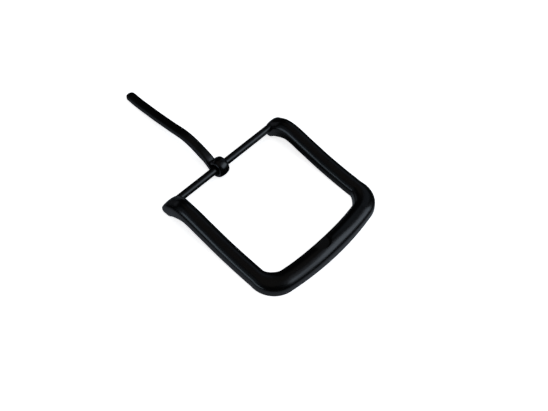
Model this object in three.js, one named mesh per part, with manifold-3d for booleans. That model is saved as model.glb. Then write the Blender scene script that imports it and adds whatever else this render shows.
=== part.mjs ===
// Single-prong belt buckle with an open back: one cast frame, a round bar between its two lugs,
// and a prong that is curled round the bar. Millimetres, +Z up, face up, as it lies on a table.
// X runs along the bar, the front bar is on the -Y side and the opened prong lies to +Y.
import * as THREE from 'three';
import { mergeVertices } from 'three/addons/utils/BufferGeometryUtils.js';
import Module from 'manifold-3d';

const wasm = await Module();
wasm.setup();

// ---- Frame, in plan -------------------------------------------------------------------------
const openingWidth = 40.6; // between the side arms
const openingLength = 40.06; // from the bar's axis to the front bar's inner shoulder
const armWidth = 5.3; // across the shoulders of a side arm
const frontWidth = 6.2; // across the shoulders of the front bar
const cornerRadius = 6.6; // on the centre line
const cornerFill = 0.45; // a corner is this much fuller on each side of its centre line
const bowRadius = 105; // the front bar bows outwards
const footDraft = 0.27; // the foot of each wall stands out by this much

// ---- Frame, in height -----------------------------------------------------------------------
const frontShoulder = 3.0; // wall height at the middle of the front bar
const cornerShoulder = 2.15; // wall height at the corners
const cornerSwell = 1.12; // the wall is this much taller where a corner meets the front bar
const crownRise = 1.9; // the dome above the shoulders at the middle of the front bar
const cornerCrown = 0.85; // its share of that at the corners
const crownLeast = 0.05; // the dome never runs out altogether
const crownStart = THREE.MathUtils.degToRad(24); // the dome meets the wall in a crisp edge
const heelArch = 3.4; // how high the arm's underside arches behind the lug
const heelShoulder = 5.5; // shoulder height over that arch
const heelCrownRise = 2.1;
const heelDistance = 7.7; // from the bar's axis to the highest part of the heel

// ---- Bar ------------------------------------------------------------------------------------
const barRadius = 1.23;
const socketClearance = 0.08; // radial
const barEndGap = 0.3;
const eyeGround = 0.22; // between the eye and the table

// ---- Prong ----------------------------------------------------------------------------------
const eyeOffset = -3.4; // the eye sits this far along the bar
const prongYaw = THREE.MathUtils.degToRad(1.75); // the loose prong lies slightly askew
const eyeClearance = 0.25; // radial, round the bar
const eyeWall = 1.6;
const eyeWidth = 3.9;
const eyeLean = 0.45; // over the bar the curl runs this far to one side of the blade
const eyeEndAngle = THREE.MathUtils.degToRad(5); // where the curled strip ends, above level
const neckWidth = 3.25; // of the blade beside the eye
const bladeWidth = 2.95;
const bladeThickness = 2.5;
const tipPastFront = 0.7; // how far the closed prong's tip passes the front bar's centre line
const tipBevel = 0.9; // taken off the closed prong's underside at the tip
const tipLength = 2.2; // of that bevel
const tipTurnUp = 0.15; // the opened prong's tip rises a little
const crestRise = 3.5; // of the opened prong's centre line above its lowest part
const tableGap = 0.05; // under its lowest part
const endRound = 0.9; // how far the rounding of an end goes towards a full quarter circle

// ---- Lugs -----------------------------------------------------------------------------------
const lugWall = 0.97; // behind the bar's socket
const lugTop = 0.5; // from the bar's axis up to the shoulder
const lugFootBack = 1.4; // the flat foot runs from here behind the bar's axis ...
const lugFootFront = 0.6; // ... to here in front of it
const noseHeight = 1.35; // the height at which the lug's tip reaches furthest
const noseRound = 0.97; // how far its rounding goes towards a full quarter circle
const noseWall = 0.1; // the wall that is left there
const noseInset = 0.35; // the tip's outer face stands in from the arm's
const noseWidth = 0.5; // the tip's share of the lug's width
const lugSwell = 0.55; // the lugs stand in from the arms, towards the eye
const socketDepth = 2.6;

// ---- Notch ----------------------------------------------------------------------------------
const notchRadius = 3.0;
const notchOffset = -1.7; // its centre lies this far along the front bar
const notchInset = 0.62; // ... and this far inside the front bar's inner shoulder
const notchRest = 0.35; // between the closed prong and the notch's floor
const notchWall = 0.5; // upright up to here above the floor, then flared
const notchFlare = THREE.MathUtils.degToRad(35); // of the rim, from upright

// ---- Worked out -----------------------------------------------------------------------------
const armX = (openingWidth + armWidth) / 2;
const frontY = -(openingLength + frontWidth / 2);
const cornerX = armX - cornerRadius;
const bowCentreY = frontY + bowRadius;
const cornerY = bowCentreY - Math.sqrt((bowRadius - cornerRadius) ** 2 - cornerX ** 2);
const bowAngle = Math.asin(cornerX / (bowRadius - cornerRadius));
const barHeight = eyeGround + eyeWall + eyeClearance + barRadius; // its axis above the table
const lugReach = barRadius + socketClearance + lugWall; // from the bar's axis to the tip
const lugShoulder = barHeight + lugTop; // shoulder height over the bar
const lugFace = openingWidth / 2 - lugSwell; // the lugs' inner faces
const eyeLine = barRadius + eyeClearance + eyeWall / 2; // radius of the curled centre line
const eyeBottom = barHeight - eyeLine;
const prongReach = tipPastFront - frontY;
const lowHeight = bladeThickness / 2 + tableGap; // of the opened prong's centre line near its tip
const crestHeight = lowHeight + crestRise;
const notchY = -(openingLength + notchInset);
const pitHeight = 2 * crownRise; // of the notch's cutters
// Closed, the prong is turned half a turn about the bar, so its upper face comes to lie below.
const notchFloor = 2 * barHeight - (lowHeight + bladeThickness / 2) - notchRest;

// Smooth curve through a few [at, value] points that never swings past them.
function heightCurve(points) {
  const slope = points.slice(1).map((p, i) => (p[1] - points[i][1]) / (p[0] - points[i][0]));
  const tangent = points.map((p, i) => {
    if (i === 0 || i === points.length - 1) return 0;
    const [before, after] = [slope[i - 1], slope[i]];
    return before * after <= 0 ? 0 : (2 * before * after) / (before + after);
  });
  return (at) => {
    if (at <= points[0][0]) return points[0][1];
    if (at >= points.at(-1)[0]) return points.at(-1)[1];
    const i = points.findIndex((p) => p[0] > at) - 1;
    const span = points[i + 1][0] - points[i][0];
    const t = (at - points[i][0]) / span;
    const rest = 1 - t;
    return points[i][1] * (1 + 2 * t) * rest * rest + points[i + 1][1] * t * t * (3 - 2 * t)
      + span * (tangent[i] * t * rest * rest - tangent[i + 1] * t * t * rest);
  };
}

const quarterRound = (share) => Math.sqrt(Math.max(0, 1 - share * share));
const mix = THREE.MathUtils.lerp;

// Heights along an arm, by the distance in front of the bar's axis (negative behind it).
const armEnd = -cornerY;
const underside = heightCurve([
  [lugFootFront, 0],
  [lugFootFront + 2.3, 0.48 * heelArch],
  [heelDistance, heelArch],
  [mix(heelDistance, armEnd, 0.2), 0.74 * heelArch],
  [mix(heelDistance, armEnd, 0.54), 0.28 * heelArch],
  [mix(heelDistance, armEnd, 0.85), 0.05 * heelArch],
  [armEnd, 0],
]);
const shoulder = heightCurve([
  [-lugReach, 0.7 * lugShoulder],
  [0, lugShoulder],
  [0.45 * heelDistance, 0.95 * heelShoulder],
  [0.8 * heelDistance, heelShoulder],
  [mix(heelDistance, armEnd, 0.25), mix(cornerShoulder, heelShoulder, 0.6)],
  [mix(heelDistance, armEnd, 0.55), mix(cornerShoulder, heelShoulder, 0.22)],
  [mix(heelDistance, armEnd, 0.85), mix(cornerShoulder, heelShoulder, 0.04)],
  [armEnd, cornerShoulder],
]);
const crown = heightCurve([
  [-lugReach, 0.65 * crownRise],
  [0.6 * heelDistance, heelCrownRise],
  [1.6 * heelDistance, heelCrownRise],
  [armEnd, cornerCrown * crownRise],
]);
const swellCurve = heightCurve([
  [0, 1],
  [0.9 * heelDistance, 0],
]);

// One station of the frame: its place, the direction towards the opening, and its section's sizes.
function armStation(side, distance) {
  const pastFoot = (-distance - lugFootFront) / (lugReach - lugFootFront);
  const fade = pastFoot > 0 ? quarterRound(noseRound * pastFoot) : 1;
  const footShare = (-distance - lugFootBack) / (lugReach - lugFootBack);
  const foot = footShare > 0 ? noseHeight * (1 - quarterRound(footShare)) : underside(distance);
  const swell = swellCurve(distance) * lugSwell;
  const width = (armWidth + swell) * mix(noseWidth, 1, fade);
  const outerFace = armX + armWidth / 2 - mix(noseInset, 0, fade);
  return {
    x: side * (outerFace - width / 2),
    y: -distance,
    inward: [-side, 0],
    half: width / 2,
    foot,
    shoulder: mix(noseHeight + noseWall, shoulder(distance), fade),
    rise: crown(distance) * fade + crownLeast,
  };
}

function cornerStation(side, share) {
  const angle = mix(0, Math.PI / 2 - bowAngle, share);
  return {
    x: side * (cornerX + cornerRadius * Math.cos(angle)),
    y: cornerY - cornerRadius * Math.sin(angle),
    inward: [-side * Math.cos(angle), Math.sin(angle)],
    half: mix(armWidth, frontWidth, share) / 2 + cornerFill * Math.sin(Math.PI * share),
    foot: 0,
    shoulder: mix(1, cornerSwell, share * share) * cornerShoulder,
    rise: cornerCrown * crownRise + crownLeast,
  };
}

function frontStation(share) {
  const angle = share * bowAngle;
  const swell = Math.cos((share * Math.PI) / 2) ** 2;
  return {
    x: bowRadius * Math.sin(angle),
    y: bowCentreY - bowRadius * Math.cos(angle),
    inward: [-Math.sin(angle), Math.cos(angle)],
    half: frontWidth / 2,
    foot: 0,
    shoulder: mix(cornerSwell * cornerShoulder, frontShoulder, swell),
    rise: mix(cornerCrown, 1, swell) * crownRise + crownLeast,
  };
}

function frameStations() {
  const arm = (side) => {
    const list = [];
    for (let i = 0; i <= 8; i++) {
      const turn = (Math.PI / 2) * (i / 8);
      list.push(armStation(side, -mix(lugFootFront, lugReach, Math.cos(turn))));
    }
    for (let i = 1; i <= 34; i++) list.push(armStation(side, mix(-lugFootFront, armEnd, i / 34)));
    for (let i = 1; i <= 12; i++) list.push(cornerStation(side, i / 12));
    return list;
  };
  const front = [];
  for (let i = 1; i < 24; i++) front.push(frontStation(-1 + i / 12));
  return [...arm(-1), ...front, ...arm(1).reverse()];
}

// Outline of the frame's section: -1..1 across, 0..1 up the wall, 1..2 up the dome.
function frameSection() {
  const outline = new THREE.Shape();
  outline.moveTo(-1, 0);
  outline.lineTo(1, 0);
  outline.lineTo(1, 1);
  const domeSteps = 14;
  const low = Math.sin(crownStart);
  for (let i = 1; i < domeSteps; i++) {
    const angle = mix(crownStart, Math.PI - crownStart, i / domeSteps);
    outline.lineTo(Math.cos(angle) / Math.cos(crownStart), 1 + (Math.sin(angle) - low) / (1 - low));
  }
  outline.lineTo(-1, 1);
  return outline;
}

// Sweeps an outline through stations: an extrusion with one step per station, whose corners are
// then moved to where the station puts them.
function sweep(outline, stations, place) {
  const steps = stations.length - 1;
  const geometry = new THREE.ExtrudeGeometry(outline, { depth: steps, steps, bevelEnabled: false });
  const corners = geometry.attributes.position;
  for (let i = 0; i < corners.count; i++) {
    const station = stations[Math.round(corners.getZ(i))];
    const [x, y, z] = place(station, corners.getX(i), corners.getY(i));
    corners.setXYZ(i, x, y, z);
  }
  return geometry;
}

function solid(geometry) {
  const bare = geometry.clone();
  bare.deleteAttribute('normal');
  bare.deleteAttribute('uv');
  const merged = mergeVertices(bare, 1e-5);
  const mesh = new wasm.Mesh({
    numProp: 3,
    vertProperties: new Float32Array(merged.attributes.position.array),
    triVerts: new Uint32Array(merged.index.array),
  });
  return new wasm.Manifold(mesh);
}

function toGeometry(body) {
  const mesh = body.getMesh();
  const geometry = new THREE.BufferGeometry();
  geometry.setAttribute('position', new THREE.BufferAttribute(mesh.vertProperties, 3));
  geometry.setIndex(new THREE.BufferAttribute(mesh.triVerts, 1));
  return geometry;
}

// A round bar along X, centred on x.
function roundBar(radius, length, x) {
  const geometry = new THREE.CylinderGeometry(radius, radius, length, 32);
  geometry.rotateZ(Math.PI / 2);
  geometry.translate(x, 0, barHeight);
  return geometry;
}

// An upright round cutter over the notch, from its bottom up past the front bar's top.
function roundPit(bottomRadius, topRadius, bottom) {
  const geometry = new THREE.CylinderGeometry(topRadius, bottomRadius, pitHeight, 48);
  geometry.rotateX(Math.PI / 2);
  geometry.translate(notchOffset, notchY, bottom + pitHeight / 2);
  return geometry;
}

function placeOnFrame(station, across, up) {
  const draft = up < 1 ? footDraft * (1 - up) : 0;
  const offset = across * (station.half + draft);
  const height = up <= 1
    ? mix(station.foot, station.shoulder, up)
    : station.shoulder + (up - 1) * station.rise;
  return [station.x + offset * station.inward[0], station.y + offset * station.inward[1], height];
}

function makeFrame() {
  let body = solid(sweep(frameSection(), frameStations(), placeOnFrame));
  for (const side of [-1, 1]) {
    const socketLength = socketDepth + lugSwell;
    const socketMiddle = side * (lugFace + socketDepth - socketLength / 2);
    body = body.subtract(solid(roundBar(barRadius + socketClearance, socketLength, socketMiddle)));
  }
  const pit = roundPit(notchRadius, notchRadius, notchFloor);
  const flared = notchRadius + pitHeight * Math.tan(notchFlare);
  const rim = roundPit(notchRadius, flared, notchFloor + notchWall);
  return toGeometry(body.subtract(solid(pit)).subtract(solid(rim)));
}

// The prong's centre line, from the end of the curl, over the bar, under it and out to the tip.
function prongStations() {
  const curl = [];
  for (let i = 0; i <= 30; i++) {
    const angle = mix(eyeEndAngle, 1.5 * Math.PI, i / 30);
    const round = quarterRound(Math.max(0, 1 - i / 3) * endRound);
    curl.push({
      y: eyeLine * Math.cos(angle),
      z: barHeight + eyeLine * Math.sin(angle),
      turn: angle,
      aside: eyeLean * Math.sin((Math.PI / 2) * Math.min(1, (30 - i) / 12)),
      halfWidth: (eyeWidth / 2) * mix(0.8, 1, round),
      outer: (eyeWall / 2) * round,
      inner: (eyeWall / 2) * round,
    });
  }
  const height = heightCurve([
    [0, eyeBottom],
    [0.13 * prongReach, mix(eyeBottom, crestHeight, 0.6)],
    [0.33 * prongReach, crestHeight],
    [0.52 * prongReach, mix(lowHeight, crestHeight, 0.62)],
    [0.73 * prongReach, mix(lowHeight, crestHeight, 0.22)],
    [0.93 * prongReach, lowHeight],
    [prongReach, lowHeight + tipTurnUp],
  ]);
  const width = heightCurve([
    [0, eyeWidth],
    [0.14 * prongReach, neckWidth],
    [0.6 * prongReach, bladeWidth],
  ]);
  const thickness = heightCurve([
    [0, eyeWall],
    [0.2 * prongReach, bladeThickness],
  ]);
  const blade = [];
  const count = 48;
  for (let i = 1; i <= count; i++) {
    const y = prongReach * Math.sin((Math.PI / 2) * (i / count));
    const slope = (height(y + 0.01) - height(y - 0.01)) / 0.02;
    const fromTip = prongReach - y;
    const round = quarterRound(Math.max(0, 1 - fromTip / (bladeThickness / 2)) * endRound);
    const bevel = tipBevel * Math.max(0, 1 - fromTip / tipLength);
    blade.push({
      y,
      z: height(y),
      turn: 1.5 * Math.PI + Math.atan(slope),
      aside: 0,
      halfWidth: (width(y) / 2) * round,
      outer: (thickness(y) / 2) * round,
      inner: (thickness(y) / 2 - bevel) * round,
    });
  }
  return [...curl, ...blade];
}

// A square with full, rounded corners, from -1 to 1 each way.
function prongSection() {
  const outline = new THREE.Shape();
  const count = 24;
  for (let i = 0; i < count; i++) {
    const angle = (2 * Math.PI * (i + 0.5)) / count;
    const [x, y] = [Math.cos(angle), Math.sin(angle)];
    const corner = [Math.sign(x) * Math.abs(x) ** 0.45, Math.sign(y) * Math.abs(y) ** 0.45];
    if (i === 0) outline.moveTo(...corner);
    else outline.lineTo(...corner);
  }
  return outline;
}

function placeOnProng(station, across, outward) {
  const lift = outward * (outward > 0 ? station.outer : station.inner);
  const y = station.y + lift * Math.cos(station.turn);
  const z = station.z + lift * Math.sin(station.turn);
  const x = eyeOffset + station.aside + Math.tan(prongYaw) * y;
  return [x + across * station.halfWidth, y, z];
}

function makeProng() {
  return toGeometry(solid(sweep(prongSection(), prongStations(), placeOnProng)));
}

function makeBar() {
  return toGeometry(solid(roundBar(barRadius, 2 * (lugFace + socketDepth - barEndGap), 0)));
}

const finish = { color: 0x141517, roughness: 0.42, metalness: 0.2 };

function part(name, geometry) {
  const mesh = new THREE.Mesh(geometry, new THREE.MeshStandardMaterial(finish));
  mesh.name = name;
  return mesh;
}

const buckle = new THREE.Group();
buckle.add(part('frame', makeFrame()), part('bar', makeBar()), part('prong', makeProng()));

// The origin is the middle of the base of the opened buckle's bounding box.
const box = new THREE.Box3().setFromObject(buckle);
buckle.position.set(-(box.min.x + box.max.x) / 2, -(box.min.y + box.max.y) / 2, -box.min.z);

export default buckle;
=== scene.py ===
import math

import bmesh
import bpy
from mathutils import Matrix, Vector


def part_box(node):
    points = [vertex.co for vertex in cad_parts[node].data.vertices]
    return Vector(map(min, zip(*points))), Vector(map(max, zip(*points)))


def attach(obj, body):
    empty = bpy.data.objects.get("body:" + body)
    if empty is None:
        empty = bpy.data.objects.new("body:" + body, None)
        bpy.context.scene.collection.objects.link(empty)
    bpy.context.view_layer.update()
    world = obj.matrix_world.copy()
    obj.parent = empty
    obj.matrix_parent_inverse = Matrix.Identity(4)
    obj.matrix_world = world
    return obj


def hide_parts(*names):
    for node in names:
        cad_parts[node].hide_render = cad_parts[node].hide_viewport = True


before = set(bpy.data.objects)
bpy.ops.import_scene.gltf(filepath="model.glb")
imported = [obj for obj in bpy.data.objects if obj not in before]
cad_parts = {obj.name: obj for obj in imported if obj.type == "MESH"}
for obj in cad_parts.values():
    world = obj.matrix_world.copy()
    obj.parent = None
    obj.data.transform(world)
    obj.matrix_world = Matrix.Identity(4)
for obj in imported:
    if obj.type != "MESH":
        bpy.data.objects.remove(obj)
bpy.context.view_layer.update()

scene = bpy.context.scene


def mm(value):
    return value / 1000


def hexColour(code):  # sRGB hex to linear
    parts = [int(code[i:i + 2], 16) / 255 for i in (1, 3, 5)]
    return [c / 12.92 if c <= 0.04045 else ((c + 0.055) / 1.055) ** 2.4 for c in parts]


def addNode(tree, kind, inputs=None, **settings):
    # one node with its settings; an input takes a value or another node's output
    made = tree.nodes.new(kind)
    for name, value in settings.items():
        setattr(made, name, value)
    for key, value in (inputs or {}).items():
        if isinstance(value, bpy.types.NodeSocket):
            tree.links.new(value, made.inputs[key])
        else:
            made.inputs[key].default_value = value
    return made


# the bar's own CAD box says where everything hangs from
barLow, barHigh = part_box("bar")
barCentre = (barLow + barHigh) / 2
barY, barZ = barCentre.y * 1000, barCentre.z * 1000
barRadius = (barHigh.z - barLow.z) * 500

frameSizes = {
    "openingWidth": 40.6,
    "openingLength": 40.06,
    "armWidth": 5.3,
    "frontWidth": 6.2,
    "cornerRadius": 6.6,
    "cornerFill": 0.45,
    "bowRadius": 105.0,
    "footDraft": 0.27,
    "frontShoulder": 3.0,
    "cornerShoulder": 2.15,
    "cornerSwell": 1.12,
    "crownRise": 1.9,
    "cornerCrown": 0.85,
    "crownLeast": 0.05,
    "crownStart": math.radians(24),
    "heelArch": 3.4,
    "heelShoulder": 5.5,
    "heelCrownRise": 2.1,
    "heelDistance": 7.7,
    "lugReach": 2.28,
    "lugFootBack": 1.4,
    "lugFootFront": 0.6,
    "lugShoulder": 3.8,
    "noseHeight": 1.35,  # the height at which a lug's tip reaches furthest
    "noseRound": 0.985,  # how far its rounding goes towards a full quarter circle
    "noseWall": 0.1,
    "noseInset": 0.35,
    "noseWidth": 0.5,  # the tip's share of the lug's width
    "lugSwell": 0.55,
    "socketDepth": 2.6,
    "socketClearance": 0.08,
    "creaseRound": 0.4,  # the enamel fills the crease's edge to about this
    "footRound": 0.28,
}

prongSizes = {
    "eyeOffset": -3.4,
    "yaw": math.radians(1.75),
    "eyeClearance": 0.25,
    "eyeWall": 1.6,
    "eyeWidth": 3.9,
    "eyeLean": 0.45,
    "eyeEndAngle": math.radians(5),
    "neckWidth": 3.25,
    "bladeWidth": 2.95,
    "bladeThickness": 2.5,
    "tipPastFront": 0.7,
    "tipBevel": 0.9,
    "tipLength": 2.2,
    "crestHeight": 4.8,
    "lowHeight": 1.3,
    "tipHeight": 1.45,
    "endRound": 0.93,  # how far the rounding of an end goes towards a full quarter circle
    "endNarrow": 0.72,  # the curled end's share of the eye's width
    "crispPower": 0.45,  # of the section's corners on the blade
    "softPower": 0.85,  # and round the eye, where they are fuller
}

notchSizes = {
    "radius": 3.0,
    "offset": -1.7,
    "inset": 0.62,
    "rest": 0.35,
    "wall": 0.5,
    "flare": math.radians(35),
    "rimRound": 0.1,
}

barSizes = {
    "chamfer": 0.25,
}


smoothUpTo = math.radians(50)  # a sharper edge than this stays crisp


def mix(a, b, share):
    return a + (b - a) * share


def quarterRound(share):
    return math.sqrt(max(0.0, 1 - share * share))


def smoothThrough(points):
    # a curve through [at, value] points that never swings past them
    slopes = [(b[1] - a[1]) / (b[0] - a[0]) for a, b in zip(points, points[1:])]
    tangents = [0.0]
    for before, after in zip(slopes, slopes[1:]):
        tangents.append(0.0 if before * after <= 0 else 2 * before * after / (before + after))
    tangents.append(0.0)

    def at(where):
        if where <= points[0][0]:
            return points[0][1]
        if where >= points[-1][0]:
            return points[-1][1]
        i = next(k for k, p in enumerate(points) if p[0] > where) - 1
        span = points[i + 1][0] - points[i][0]
        t = (where - points[i][0]) / span
        rest = 1 - t
        return (points[i][1] * (1 + 2 * t) * rest * rest + points[i + 1][1] * t * t * (3 - 2 * t)
                + span * (tangents[i] * t * rest * rest - tangents[i + 1] * t * t * rest))

    return at


# Geometry Nodes: carries a section along a rail. Every rail point holds its centre and four
# vectors, and every section point says how much of each vector it takes.
def sweepTree():
    tree = bpy.data.node_groups.new("sweepSection", "GeometryNodeTree")
    tree.is_modifier = True
    for name, kind in (("Rail", "NodeSocketGeometry"), ("Section", "NodeSocketObject"),
                       ("Draft", "NodeSocketFloat"), ("Finish", "NodeSocketMaterial")):
        tree.interface.new_socket(name, in_out="INPUT", socket_type=kind)
    tree.interface.new_socket("Body", in_out="OUTPUT", socket_type="NodeSocketGeometry")
    given = addNode(tree, "NodeGroupInput").outputs
    shape = addNode(tree, "GeometryNodeObjectInfo", {"Object": given["Section"]})
    section = addNode(tree, "GeometryNodeMeshToCurve", {"Mesh": shape.outputs["Geometry"]})
    rail = addNode(tree, "GeometryNodeMeshToCurve", {"Mesh": given["Rail"]})
    tube = addNode(tree, "GeometryNodeCurveToMesh", {
        "Curve": rail.outputs["Curve"], "Profile Curve": section.outputs["Curve"],
        "Fill Caps": True})

    stored = {}
    for name in ("centre", "side", "upper", "lower", "flare", "crisp", "soft"):
        stored[name] = addNode(tree, "GeometryNodeInputNamedAttribute", {"Name": name},
                               data_type="FLOAT_VECTOR").outputs["Attribute"]
    softness = addNode(tree, "GeometryNodeInputNamedAttribute", {"Name": "softness"},
                       data_type="FLOAT").outputs["Attribute"]
    share = addNode(tree, "ShaderNodeMix", data_type="VECTOR")
    tree.links.new(softness, share.inputs["Factor"])
    vectorIns = [s for s in share.inputs if s.type == "VECTOR" and s.name in "AB"]
    tree.links.new(stored["crisp"], vectorIns[0])
    tree.links.new(stored["soft"], vectorIns[1])
    shareOut = next(s for s in share.outputs if s.type == "VECTOR")
    part = addNode(tree, "ShaderNodeSeparateXYZ", {0: shareOut}).outputs

    place = stored["centre"]
    for vector, amount in (("side", part["X"]), ("upper", part["Y"]), ("lower", part["Z"])):
        place = addNode(tree, "ShaderNodeVectorMath", {0: stored[vector], 1: amount, 2: place},
                        operation="MULTIPLY_ADD").outputs[0]
    # the wall's foot stands out by the draft, and its shoulder doesn't
    fromShoulder = addNode(tree, "ShaderNodeMath", {0: 1.0, 1: part["Y"]}, operation="SUBTRACT")
    outwards = addNode(tree, "ShaderNodeMath", {0: fromShoulder.outputs[0], 1: part["X"]},
                       operation="MULTIPLY")
    draft = addNode(tree, "ShaderNodeMath", {0: outwards.outputs[0], 1: given["Draft"]},
                    operation="MULTIPLY")
    place = addNode(tree, "ShaderNodeVectorMath", {0: stored["flare"], 1: draft.outputs[0], 2: place},
                    operation="MULTIPLY_ADD").outputs[0]

    placed = addNode(tree, "GeometryNodeSetPosition", {
        "Geometry": tube.outputs["Mesh"], "Position": place})
    real = addNode(tree, "GeometryNodeRealizeInstances", {"Geometry": placed.outputs[0]})
    finished = addNode(tree, "GeometryNodeSetMaterial", {
        "Geometry": real.outputs[0], "Material": given["Finish"]})
    addNode(tree, "NodeGroupOutput", {"Body": finished.outputs[0]})
    return tree


def lineMesh(name, points, closed, vectors, numbers=None):
    # a chain of points that carries its attributes into the sweep
    mesh = bpy.data.meshes.new(name)
    edges = [(i, i + 1) for i in range(len(points) - 1)]
    if closed:
        edges.append((len(points) - 1, 0))
    mesh.from_pydata(points, edges, [])
    for key, values in vectors.items():
        layer = mesh.attributes.new(key, "FLOAT_VECTOR", "POINT")
        layer.data.foreach_set("vector", [c for v in values for c in v])
    for key, values in (numbers or {}).items():
        layer = mesh.attributes.new(key, "FLOAT", "POINT")
        layer.data.foreach_set("value", values)
    made = bpy.data.objects.new(name, mesh)
    scene.collection.objects.link(made)
    return made


def plainMesh(obj, name):
    # the evaluated object as a mesh of its own
    mesh = bpy.data.meshes.new_from_object(
        obj.evaluated_get(bpy.context.evaluated_depsgraph_get()))
    mesh.name = name
    return mesh


def sweep(name, stations, section, finish, draft=0.0):
    rail = lineMesh(name + "Rail", [s["centre"] for s in stations], False,
                    {key: [s[key] for s in stations]
                     for key in ("centre", "side", "upper", "lower", "flare")},
                    {"softness": [s["softness"] for s in stations]})
    shape = lineMesh(name + "Section", [(w[0], w[1] + w[2], 0) for w in section["crisp"]], True,
                     section)
    modifier = rail.modifiers.new("sweep", "NODES")
    modifier.node_group = sectionSweep
    socketOf = {s.name: s.identifier for s in sectionSweep.interface.items_tree
                if s.in_out == "INPUT"}
    modifier[socketOf["Section"]] = shape
    modifier[socketOf["Draft"]] = draft
    modifier[socketOf["Finish"]] = finish
    mesh = plainMesh(rail, name)
    for helper in (rail, shape):
        bpy.data.objects.remove(helper)
    for layer in [a.name for a in mesh.attributes if a.name in (
            "centre", "side", "upper", "lower", "flare", "crisp", "soft", "softness")]:
        mesh.attributes.remove(mesh.attributes[layer])
    work = bmesh.new()
    work.from_mesh(mesh)
    bmesh.ops.remove_doubles(work, verts=work.verts, dist=mm(0.001))
    bmesh.ops.recalc_face_normals(work, faces=work.faces)
    work.to_mesh(mesh)
    work.free()
    body = bpy.data.objects.new(name, mesh)
    scene.collection.objects.link(body)
    mesh.shade_smooth()
    return body


def cutWith(body, cutters, rimRound):
    # takes the cutters out of the body, then rounds the rims that they leave
    before = {tuple(round(c, 7) for c in v.co) for v in body.data.vertices}
    for cutter in cutters:
        modifier = body.modifiers.new("cut", "BOOLEAN")
        modifier.operation = "DIFFERENCE"
        modifier.solver = "EXACT"
        modifier.object = cutter
    mesh = plainMesh(body, body.name + "Cut")
    body.modifiers.clear()
    body.data = mesh
    for cutter in cutters:
        bpy.data.objects.remove(cutter)
    work = bmesh.new()
    work.from_mesh(mesh)
    fresh = [v for v in work.verts if tuple(round(c, 7) for c in v.co) not in before]
    bmesh.ops.remove_doubles(work, verts=fresh, dist=mm(0.02))
    weight = work.edges.layers.float.new("bevel_weight_edge")
    sharpTurn = math.radians(38)
    freshSet = {v for v in fresh if v.is_valid}
    for edge in work.edges:
        isRim = edge.is_manifold and edge.calc_face_angle_signed(0) > sharpTurn
        if isRim and edge.verts[0] in freshSet and edge.verts[1] in freshSet:
            edge[weight] = 1
    work.to_mesh(mesh)
    work.free()
    bevel = body.modifiers.new("rim", "BEVEL")
    bevel.limit_method = "WEIGHT"
    bevel.width = rimRound
    bevel.segments = 3
    rounded = plainMesh(body, body.name)
    body.modifiers.clear()
    body.data = rounded
    rounded.shade_smooth()
    rounded.set_sharp_from_angle(angle=smoothUpTo)


sectionSweep = sweepTree()
print("sweep tree ready")


# ---- finishes -------------------------------------------------------------------------------
blackEnamel = {
    "colour": "#020202",
    "dustColour": "#050505",
    "roughness": 0.26,
    "roughnessSpread": 0.015,
    "ior": 1.5,
    "grainSize": 0.45,  # orange peel of a stoved enamel is finer, and is drawn this coarse to show
    "grainHeight": 0.0005,
    "waveSize": 7.0,  # hand polishing leaves the casting faintly uneven under the enamel
    "waveHeight": 0.012,
    "cloudSize": 2.6,  # patches that differ a little in gloss and dust
    "stretch": (1, 1, 1),
}


def enamelOn(name, pattern):
    # satin black stoved enamel: soft grey reflections with a faint peel, nearly black elsewhere
    look = {**blackEnamel, **pattern}
    material = bpy.data.materials.new(name)
    material.use_nodes = True
    tree = material.node_tree
    tree.nodes.clear()
    place = addNode(tree, "ShaderNodeTexCoord").outputs["Object"]
    stretched = addNode(tree, "ShaderNodeMapping", {
        "Vector": place, "Scale": look["stretch"]}).outputs[0]
    grain = addNode(tree, "ShaderNodeTexNoise", {
        "Vector": stretched, "Scale": 1 / mm(look["grainSize"]), "Detail": 3.0,
        "Roughness": 0.55})
    wave = addNode(tree, "ShaderNodeTexNoise", {
        "Vector": place, "Scale": 1 / mm(look["waveSize"]), "Detail": 1.5})
    cloud = addNode(tree, "ShaderNodeTexNoise", {
        "Vector": place, "Scale": 1 / mm(look["cloudSize"]), "Detail": 4.0, "Roughness": 0.6})
    rough = addNode(tree, "ShaderNodeMapRange", {
        "Value": cloud.outputs["Fac"], "From Min": 0.3, "From Max": 0.7,
        "To Min": look["roughness"] - look["roughnessSpread"],
        "To Max": look["roughness"] + look["roughnessSpread"]})
    colour = addNode(tree, "ShaderNodeMix", data_type="RGBA")
    tree.links.new(cloud.outputs["Fac"], colour.inputs[0])
    colourIns = [s for s in colour.inputs if s.type == "RGBA"]
    colourIns[0].default_value = (*hexColour(look["colour"]), 1)
    colourIns[1].default_value = (*hexColour(look["dustColour"]), 1)
    waveBump = addNode(tree, "ShaderNodeBump", {
        "Height": wave.outputs["Fac"], "Distance": mm(look["waveHeight"]), "Strength": 1.0})
    grainBump = addNode(tree, "ShaderNodeBump", {
        "Height": grain.outputs["Fac"], "Distance": mm(look["grainHeight"]), "Strength": 1.0,
        "Normal": waveBump.outputs[0]})
    shader = addNode(tree, "ShaderNodeBsdfPrincipled", {
        "Base Color": next(s for s in colour.outputs if s.type == "RGBA"),
        "Roughness": rough.outputs[0], "IOR": look["ior"], "Normal": grainBump.outputs[0]})
    addNode(tree, "ShaderNodeOutputMaterial", {"Surface": shader.outputs[0]})
    return material


# over zinc die casting: a fine even peel and faint waves from polishing
enamelOnCasting = enamelOn("satinBlackEnamelOnZincCasting", {})
# over drawn steel wire: the drawing lines still run along it under the enamel
enamelOnWire = enamelOn("satinBlackEnamelOnDrawnWire", {
    "stretch": (0.12, 1, 1), "grainSize": 0.3, "waveHeight": 0.0})
# over the tumbled prong: a little glossier, with shorter waves
enamelOnProng = enamelOn("satinBlackEnamelOnTumbledProng", {"roughness": 0.24, "waveSize": 4.0})
print("finishes ready")


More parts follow.
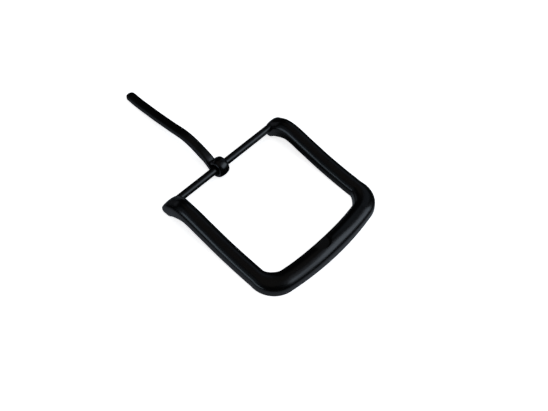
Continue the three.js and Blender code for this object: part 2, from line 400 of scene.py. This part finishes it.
# ---- frame ----------------------------------------------------------------------------------
def frameStations(sizes):
    s = sizes
    armX = (s["openingWidth"] + s["armWidth"]) / 2
    frontY = -(s["openingLength"] + s["frontWidth"] / 2)
    cornerX = armX - s["cornerRadius"]
    bowCentreY = frontY + s["bowRadius"]
    bowToCorner = s["bowRadius"] - s["cornerRadius"]
    cornerY = bowCentreY - math.sqrt(bowToCorner ** 2 - cornerX ** 2)
    bowAngle = math.asin(cornerX / bowToCorner)
    armEnd = -cornerY
    heel = s["heelDistance"]

    def along(share):
        return mix(heel, armEnd, share)

    arch = s["heelArch"]
    underside = smoothThrough([
        [s["lugFootFront"], 0], [s["lugFootFront"] + 2.3, 0.48 * arch], [heel, arch],
        [along(0.2), 0.74 * arch], [along(0.54), 0.28 * arch], [along(0.85), 0.05 * arch],
        [armEnd, 0]])
    low, high = s["cornerShoulder"], s["heelShoulder"]
    shoulder = smoothThrough([
        [-s["lugReach"], 0.7 * s["lugShoulder"]], [0, s["lugShoulder"]],
        [0.45 * heel, 0.95 * high], [0.8 * heel, high], [along(0.25), mix(low, high, 0.6)],
        [along(0.55), mix(low, high, 0.22)], [along(0.85), mix(low, high, 0.04)],
        [armEnd, low]])
    crown = smoothThrough([
        [-s["lugReach"], 0.65 * s["crownRise"]], [0.6 * heel, s["heelCrownRise"]],
        [1.6 * heel, s["heelCrownRise"]], [armEnd, s["cornerCrown"] * s["crownRise"]]])
    swellBy = smoothThrough([[0, 1], [0.9 * heel, 0]])

    def station(x, y, inward, half, foot, top, rise):
        return {
            "centre": (mm(x), mm(y + barY), mm(foot)),
            "side": (mm(half) * inward[0], mm(half) * inward[1], 0),
            "upper": (0, 0, mm(top - foot)),
            "lower": (0, 0, mm(rise)),
            "flare": (inward[0], inward[1], 0),
            "softness": 0.0,
        }

    def armStation(side, distance):
        nose = quarterRound(s["noseRound"] * (-distance - s["lugFootFront"])
                            / (s["lugReach"] - s["lugFootFront"]))
        fade = nose if distance < -s["lugFootFront"] else 1
        footShare = (-distance - s["lugFootBack"]) / (s["lugReach"] - s["lugFootBack"])
        foot = underside(distance)
        if footShare > 0:
            foot = s["noseHeight"] * (1 - quarterRound(footShare))
        swell = swellBy(distance) * s["lugSwell"]
        width = (s["armWidth"] + swell) * mix(s["noseWidth"], 1, fade)
        outerFace = armX + s["armWidth"] / 2 - mix(s["noseInset"], 0, fade)
        return station(side * (outerFace - width / 2), -distance, (-side, 0), width / 2, foot,
                       mix(s["noseHeight"] + s["noseWall"], shoulder(distance), fade),
                       crown(distance) * fade + s["crownLeast"])

    def cornerStation(side, share):
        angle = mix(0, math.pi / 2 - bowAngle, share)
        fill = s["cornerFill"] * math.sin(math.pi * share)
        return station(
            side * (cornerX + s["cornerRadius"] * math.cos(angle)),
            cornerY - s["cornerRadius"] * math.sin(angle),
            (-side * math.cos(angle), math.sin(angle)),
            mix(s["armWidth"], s["frontWidth"], share) / 2 + fill, 0,
            mix(1, s["cornerSwell"], share * share) * low,
            s["cornerCrown"] * s["crownRise"] + s["crownLeast"])

    def frontStation(share):
        angle = share * bowAngle
        swell = math.cos(share * math.pi / 2) ** 2
        return station(
            s["bowRadius"] * math.sin(angle), bowCentreY - s["bowRadius"] * math.cos(angle),
            (-math.sin(angle), math.cos(angle)), s["frontWidth"] / 2, 0,
            mix(s["cornerSwell"] * low, s["frontShoulder"], swell),
            mix(s["cornerCrown"], 1, swell) * s["crownRise"] + s["crownLeast"])

    noseSteps, armSteps, cornerSteps, frontSteps = 22, 84, 26, 84
    arm = {}
    for side in (-1, 1):
        arm[side] = [armStation(side, -mix(s["lugFootFront"], s["lugReach"],
                                           math.cos(math.pi / 2 * i / noseSteps)))
                     for i in range(noseSteps + 1)]
        arm[side] += [armStation(side, mix(-s["lugFootFront"], armEnd, i / armSteps))
                      for i in range(1, armSteps + 1)]
        arm[side] += [cornerStation(side, i / cornerSteps) for i in range(1, cornerSteps + 1)]
    front = [frontStation(-1 + 2 * i / frontSteps) for i in range(1, frontSteps)]
    return arm[-1] + front + arm[1][::-1]


def frameSection(sizes):
    # weights are (across, up the wall, up the dome), rounded a little at the foot and the crease
    start = sizes["crownStart"]
    low = math.sin(start)

    def dome(angle):
        return (math.cos(angle) / math.cos(start), 1.0, (math.sin(angle) - low) / (1 - low))

    def bend(before, corner, after, steps=4):
        points = []
        for i in range(steps + 1):
            t = i / steps
            points.append(tuple((1 - t) ** 2 * a + 2 * t * (1 - t) * c + t * t * b
                                for a, c, b in zip(before, corner, after)))
        return points

    halfWidth = sizes["armWidth"] / 2
    wall = sizes["cornerShoulder"]
    arcRadius = halfWidth / math.cos(start)
    footSide, footUp = sizes["footRound"] / halfWidth, sizes["footRound"] / wall
    creaseDown = 1 - sizes["creaseRound"] / wall
    creaseTurn = start + sizes["creaseRound"] / arcRadius
    right = bend((1 - footSide, 0, 0), (1, 0, 0), (1, footUp, 0))
    right += [(1, mix(footUp, creaseDown, t / 3), 0) for t in (1, 2)]
    right += bend((1, creaseDown, 0), (1, 1, 0), dome(creaseTurn))
    domeSteps = 30
    top = [dome(mix(creaseTurn, math.pi - creaseTurn, i / domeSteps)) for i in range(1, domeSteps)]
    left = [(-w[0], w[1], w[2]) for w in reversed(right)]
    outline = right + top + left
    return {"crisp": outline, "soft": outline}


def roundCutter(name, radius, low, high, topRadius=None, steps=96):
    # a closed round body between two points, wider at the top if asked, for cutting with
    work = bmesh.new()
    axis = high - low
    turn = axis.to_track_quat("Z", "Y").to_matrix().to_4x4()
    bmesh.ops.create_cone(work, cap_ends=True, segments=steps, radius1=radius,
                          radius2=topRadius or radius, depth=axis.length,
                          matrix=Matrix.Translation((low + high) / 2) @ turn)
    mesh = bpy.data.meshes.new(name)
    work.to_mesh(mesh)
    work.free()
    made = bpy.data.objects.new(name, mesh)
    scene.collection.objects.link(made)
    return made


def makeFrame():
    s, p, n = frameSizes, prongSizes, notchSizes
    body = sweep("buckleFrame", frameStations(s), frameSection(s), enamelOnCasting,
                 mm(s["footDraft"]))
    lugFace = s["openingWidth"] / 2 - s["lugSwell"]
    cutters = []
    for side in (-1, 1):
        inner = Vector((mm(side * (lugFace - s["lugSwell"])), mm(barY), mm(barZ)))
        outer = Vector((mm(side * (lugFace + s["socketDepth"])), mm(barY), mm(barZ)))
        cutters.append(roundCutter("socket", mm(barRadius + s["socketClearance"]), inner, outer))
    notchY = barY - (s["openingLength"] + n["inset"])
    # closed, the prong is turned half a turn about the bar, so its upper face lies below
    floor = 2 * barZ - (p["lowHeight"] + p["bladeThickness"] / 2) - n["rest"]
    height = 2 * s["crownRise"]
    flared = n["radius"] + height * math.tan(n["flare"])
    for name, bottom, topRadius in (("pit", floor, n["radius"]), ("rim", floor + n["wall"], flared)):
        low = Vector((mm(n["offset"]), mm(notchY), mm(bottom)))
        cutters.append(roundCutter(name, mm(n["radius"]), low, low + Vector((0, 0, mm(height))),
                                   mm(topRadius)))
    cutWith(body, cutters, mm(n["rimRound"]))
    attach(body, "casting")
    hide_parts("frame")
    return body


# ---- bar ------------------------------------------------------------------------------------
def makeBar():
    s = barSizes
    half = (barHigh.x - barLow.x) * 500
    stations = []
    ends = [(0, 0.62), (0.1, 0.82), (0.45, 0.94), (1.0, 1.0)]  # length into the end, radius
    rows = [(-half + depth * s["chamfer"], size) for depth, size in ends]
    rows += [(mix(-half, half, i / 24), 1.0) for i in range(1, 24)]
    rows += [(half - depth * s["chamfer"], size) for depth, size in reversed(ends)]
    for x, size in rows:
        radius = mm(barRadius * size)
        stations.append({
            "centre": (mm(x), mm(barY), mm(barZ)), "side": (0, radius, 0), "upper": (0, 0, radius),
            "lower": (0, 0, 0), "flare": (0, 0, 0), "softness": 0.0})
    steps = 64
    ring = [(math.cos(2 * math.pi * i / steps), math.sin(2 * math.pi * i / steps), 0)
            for i in range(steps)]
    body = sweep("buckleBar", stations, {"crisp": ring, "soft": ring}, enamelOnWire)
    body.data.set_sharp_from_angle(angle=smoothUpTo)
    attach(body, "pin")
    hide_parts("bar")
    return body


# ---- prong ----------------------------------------------------------------------------------
def prongStations(p):
    line = barRadius + p["eyeClearance"] + p["eyeWall"] / 2
    bottom = barZ - line
    reach = p["tipPastFront"] + frameSizes["openingLength"] + frameSizes["frontWidth"] / 2
    askew = math.tan(p["yaw"])

    def station(y, z, turn, half, outer, inner, softness, aside=0):
        away = (math.cos(turn), math.sin(turn))
        return {
            "centre": (mm(p["eyeOffset"] + aside + askew * y), mm(y + barY), mm(z)),
            "side": (mm(half), 0, 0),
            "upper": (mm(outer * askew * away[0]), mm(outer * away[0]), mm(outer * away[1])),
            "lower": (mm(inner * askew * away[0]), mm(inner * away[0]), mm(inner * away[1])),
            "flare": (0, 0, 0),
            "softness": softness,
        }

    stations = []
    curlSteps, curlCrowding = 96, 1.2  # the steps lie closer together at the curled end
    endShare, leanShare = 0.1, 0.4  # of the curl: what is rounded, and what leans over
    curlEnd = 1.5 * math.pi
    for i in range(curlSteps + 1):
        angle = mix(p["eyeEndAngle"], curlEnd, (i / curlSteps) ** curlCrowding)
        fromEnd = (angle - p["eyeEndAngle"]) / (curlEnd - p["eyeEndAngle"]) / endShare
        tip = quarterRound(max(0, 1 - fromEnd) * p["endRound"])
        wall = p["eyeWall"] / 2 * tip
        along = (curlEnd - angle) / (curlEnd - p["eyeEndAngle"])
        aside = p["eyeLean"] * math.sin(math.pi / 2 * min(1, along / leanShare))
        stations.append(station(line * math.cos(angle), barZ + line * math.sin(angle), angle,
                                p["eyeWidth"] / 2 * mix(p["endNarrow"], 1, tip), wall, wall, 1.0,
                                aside))
    height = smoothThrough([
        [0, bottom], [0.13 * reach, mix(bottom, p["crestHeight"], 0.6)],
        [0.33 * reach, p["crestHeight"]],
        [0.52 * reach, mix(p["lowHeight"], p["crestHeight"], 0.62)],
        [0.73 * reach, mix(p["lowHeight"], p["crestHeight"], 0.22)],
        [0.93 * reach, p["lowHeight"]], [reach, p["tipHeight"]]])
    width = smoothThrough([[0, p["eyeWidth"]], [0.14 * reach, p["neckWidth"]],
                           [0.6 * reach, p["bladeWidth"]]])
    thickness = smoothThrough([[0, p["eyeWall"]], [0.2 * reach, p["bladeThickness"]]])
    softer = smoothThrough([[0, 1.0], [0.16 * reach, 0.0]])
    bladeSteps = 130
    near = 0.01  # either side, to take the slope
    for i in range(1, bladeSteps + 1):
        y = reach * math.sin(math.pi / 2 * i / bladeSteps)
        slope = (height(y + near) - height(y - near)) / (2 * near)
        fromTip = reach - y
        tip = quarterRound(max(0, 1 - fromTip / (p["bladeThickness"] / 2)) * p["endRound"])
        bevel = p["tipBevel"] * max(0, 1 - fromTip / p["tipLength"])
        stations.append(station(y, height(y), curlEnd + math.atan(slope),
                                width(y) / 2 * tip, thickness(y) / 2 * tip,
                                (thickness(y) / 2 - bevel) * tip, softer(y)))
    return stations


def prongSection(p):
    # full rounded corners: squarer on the blade, rounder round the eye
    steps = 56
    rings = {}
    for name, power in (("crisp", p["crispPower"]), ("soft", p["softPower"])):
        ring = []
        for i in range(steps):
            angle = 2 * math.pi * (i + 0.5) / steps
            x, y = math.cos(angle), math.sin(angle)
            across = math.copysign(abs(x) ** power, x)
            out = math.copysign(abs(y) ** power, y)
            ring.append((across, max(out, 0.0), min(out, 0.0)))
        rings[name] = ring
    return rings


def makeProng():
    body = sweep("buckleProng", prongStations(prongSizes), prongSection(prongSizes),
                 enamelOnProng)
    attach(body, "tongue")
    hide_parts("prong")
    return body


makeFrame()
print("frame ready")
makeBar()
print("bar ready")
makeProng()
print("prong ready")


# ---- table, light and camera ----------------------------------------------------------------
tableTop = {"size": 2400.0, "below": 0.02, "colour": "#f4f5f6", "roughness": 0.9, "glow": 0.8}
room = {"tint": (0.5, 0.54, 0.6, 1), "strength": 0.012}  # what the buckle sees of it
bounceCard = {
    # rectangles by their middles and half sizes: the glowing part, a painted reflection of the table,
    # and the opening in it, with painted shade
    "middle": 0.0, "halfWidth": 36.0, "halfLength": 57.0,
    "shadeMiddle": -21.0, "shadeHalfWidth": 20.5, "shadeHalfLength": 23.0,
    "fade": 5.0, "glow": 0.28, "colour": "#e3efff",
    "dimFrom": 0.0, "dimBy": 10.0, "dimTo": 0.45,  # less of it behind the bar
}

softboxes = {
    # name: direction to it, distance, width, height (mm), radiance, colour, seen in reflections
    "leftBox": ((-0.985, 0.12, 0.13), 700, 460, 190, 2.2, "#d9eeff", True),
    "leftUpperBox": ((-0.76, 0.36, 0.54), 700, 420, 380, 0.15, "#d9eeff", True),
    "frontBox": ((0.49, -0.66, 0.56), 700, 480, 440, 2.0, "#e1f0ff", True),
    "upperFrontBox": ((0.34, -0.36, 0.87), 700, 460, 300, 0.36, "#e9f1ff", True),
    "sideBox": ((0.74, 0.20, 0.65), 700, 460, 340, 0.21, "#d3e3f7", True),
    "ceilingBox": ((-0.12, 0.14, 0.98), 700, 1000, 560, 0.09, "#fbf1e8", True),
    "backBox": ((-0.15, 0.96, 0.24), 700, 500, 180, 0.25, "#e9f1ff", True),
    "tableFill": ((0.0, 0.0, 1.0), 1000, 1300, 1300, 0.75, "#ffffff", False),
}


def makeTable():
    t = tableTop
    work = bmesh.new()
    bmesh.ops.create_grid(work, x_segments=1, y_segments=1, size=mm(t["size"]) / 2)
    bmesh.ops.translate(work, verts=work.verts, vec=(0, 0, -mm(t["below"])))
    mesh = bpy.data.meshes.new("tableTop")
    work.to_mesh(mesh)
    work.free()
    top = bpy.data.objects.new("tableTop", mesh)
    scene.collection.objects.link(top)
    paper = bpy.data.materials.new("matteWhitePaper")
    paper.use_nodes = True
    shader = paper.node_tree.nodes["Principled BSDF"]
    shader.inputs["Base Color"].default_value = (*hexColour(t["colour"]), 1)
    shader.inputs["Roughness"].default_value = t["roughness"]
    shader.inputs["Specular IOR Level"].default_value = 0.0
    shader.inputs["Emission Color"].default_value = (1, 1, 1, 1)
    shader.inputs["Emission Strength"].default_value = t["glow"]
    mesh.materials.append(paper)
    top.visible_glossy = False


def makePaintedReflectionCard():
    # a glowing card seen only in reflections, a painted reflection of the table: pale close round the
    # buckle, with soft edges, and painted shade inside the opening, which lies in the frame's own
    # shade
    c = bounceCard
    work = bmesh.new()
    bmesh.ops.create_grid(work, x_segments=1, y_segments=1, size=mm(2 * c["halfLength"]))
    mesh = bpy.data.meshes.new("bounceCard")
    work.to_mesh(mesh)
    work.free()
    card = bpy.data.objects.new("bounceCard", mesh)
    scene.collection.objects.link(card)
    glow = bpy.data.materials.new("softEdgedCard")
    glow.use_nodes = True
    tree = glow.node_tree
    tree.nodes.clear()
    place = addNode(tree, "ShaderNodeTexCoord").outputs["Object"]
    axis = addNode(tree, "ShaderNodeSeparateXYZ", {0: place}).outputs

    def within(middle, halfWidth, halfLength):
        # 1 inside the rectangle and 0 outside it
        edges = []
        for key, centre, reach in (("X", 0, halfWidth), ("Y", middle, halfLength)):
            aside = addNode(tree, "ShaderNodeMath", {0: axis[key], 1: mm(centre)},
                            operation="SUBTRACT")
            away = addNode(tree, "ShaderNodeMath", {0: aside.outputs[0]}, operation="ABSOLUTE")
            edges.append(addNode(tree, "ShaderNodeMapRange", {
                "Value": away.outputs[0], "From Min": mm(reach),
                "From Max": mm(reach - c["fade"])}, interpolation_type="SMOOTHSTEP").outputs[0])
        return addNode(tree, "ShaderNodeMath", {0: edges[0], 1: edges[1]},
                       operation="MULTIPLY").outputs[0]

    # painted reflection: the card glows within its rectangle, with painted shade over the opening and
    # dimmer behind the bar
    lit = addNode(tree, "ShaderNodeMath", {
        0: within(c["middle"], c["halfWidth"], c["halfLength"]),
        1: within(c["shadeMiddle"], c["shadeHalfWidth"], c["shadeHalfLength"])},
        operation="SUBTRACT")
    dim = addNode(tree, "ShaderNodeMapRange", {
        "Value": axis["Y"], "From Min": mm(c["dimFrom"]), "From Max": mm(c["dimBy"]),
        "To Min": c["glow"], "To Max": c["glow"] * c["dimTo"]})
    strength = addNode(tree, "ShaderNodeMath", {0: lit.outputs[0], 1: dim.outputs[0]},
                       operation="MULTIPLY")
    light = addNode(tree, "ShaderNodeEmission", {
        "Color": (*hexColour(c["colour"]), 1), "Strength": strength.outputs[0]})
    addNode(tree, "ShaderNodeOutputMaterial", {"Surface": light.outputs[0]})
    mesh.materials.append(glow)
    card.visible_camera = card.visible_diffuse = card.visible_shadow = False


def makeLights():
    for name, (direction, distance, width, height, radiance, colour, seen) in softboxes.items():
        data = bpy.data.lights.new(name, "AREA")
        data.shape = "RECTANGLE"
        data.size, data.size_y = mm(width), mm(height)
        data.energy = radiance * math.pi * data.size * data.size_y
        data.color = hexColour(colour)
        lamp = bpy.data.objects.new(name, data)
        scene.collection.objects.link(lamp)
        towards = Vector(direction).normalized()
        lamp.location = towards * mm(distance)
        lamp.rotation_euler = towards.to_track_quat("Z", "Y").to_euler()
        lamp.visible_glossy = seen
    world = bpy.data.worlds.new("paleRoom")
    world.use_nodes = True
    tree = world.node_tree
    tree.nodes.clear()
    # the room is dark to the buckle, and pale where it is looked at directly
    dark = addNode(tree, "ShaderNodeBackground", {
        "Color": room["tint"], "Strength": room["strength"]})
    pale = addNode(tree, "ShaderNodeBackground", {"Color": (1, 1, 1, 1), "Strength": 1.0})
    path = addNode(tree, "ShaderNodeLightPath")
    either = addNode(tree, "ShaderNodeMixShader", {
        0: path.outputs["Is Camera Ray"], 1: dark.outputs[0], 2: pale.outputs[0]})
    addNode(tree, "ShaderNodeOutputWorld", {"Surface": either.outputs[0]})
    scene.world = world


camera = {
    "place": (-118.31, -107.5, 208.6),  # mm, from the table below the middle of the bar
    # degrees: its heading from +X towards +Y, how far it looks up, and its tilt sideways
    "heading": 36.217,
    "pitch": -54.857,
    "roll": 7.659,
    "lens": 53.88,
    "sensor": 36,
    "nearest": 0.01,  # metres
}


def makeCamera():
    data = bpy.data.cameras.new("camera")
    data.lens = camera["lens"]
    data.sensor_width = camera["sensor"]
    data.clip_start = camera["nearest"]
    shot = bpy.data.objects.new("camera", data)
    scene.collection.objects.link(shot)
    turn = (Matrix.Rotation(math.radians(camera["heading"] - 90), 4, "Z")
            @ Matrix.Rotation(math.radians(90 + camera["pitch"]), 4, "X")
            @ Matrix.Rotation(math.radians(camera["roll"]), 4, "Z"))
    place = Vector(camera["place"]) / 1000 + Vector((0, mm(barY), 0))
    shot.matrix_world = Matrix.Translation(place) @ turn
    scene.camera = shot


makeTable()
makePaintedReflectionCard()
makeLights()
makeCamera()
scene.view_settings.view_transform = "Standard"
scene.view_settings.look = "None"
print("table, light and camera ready")
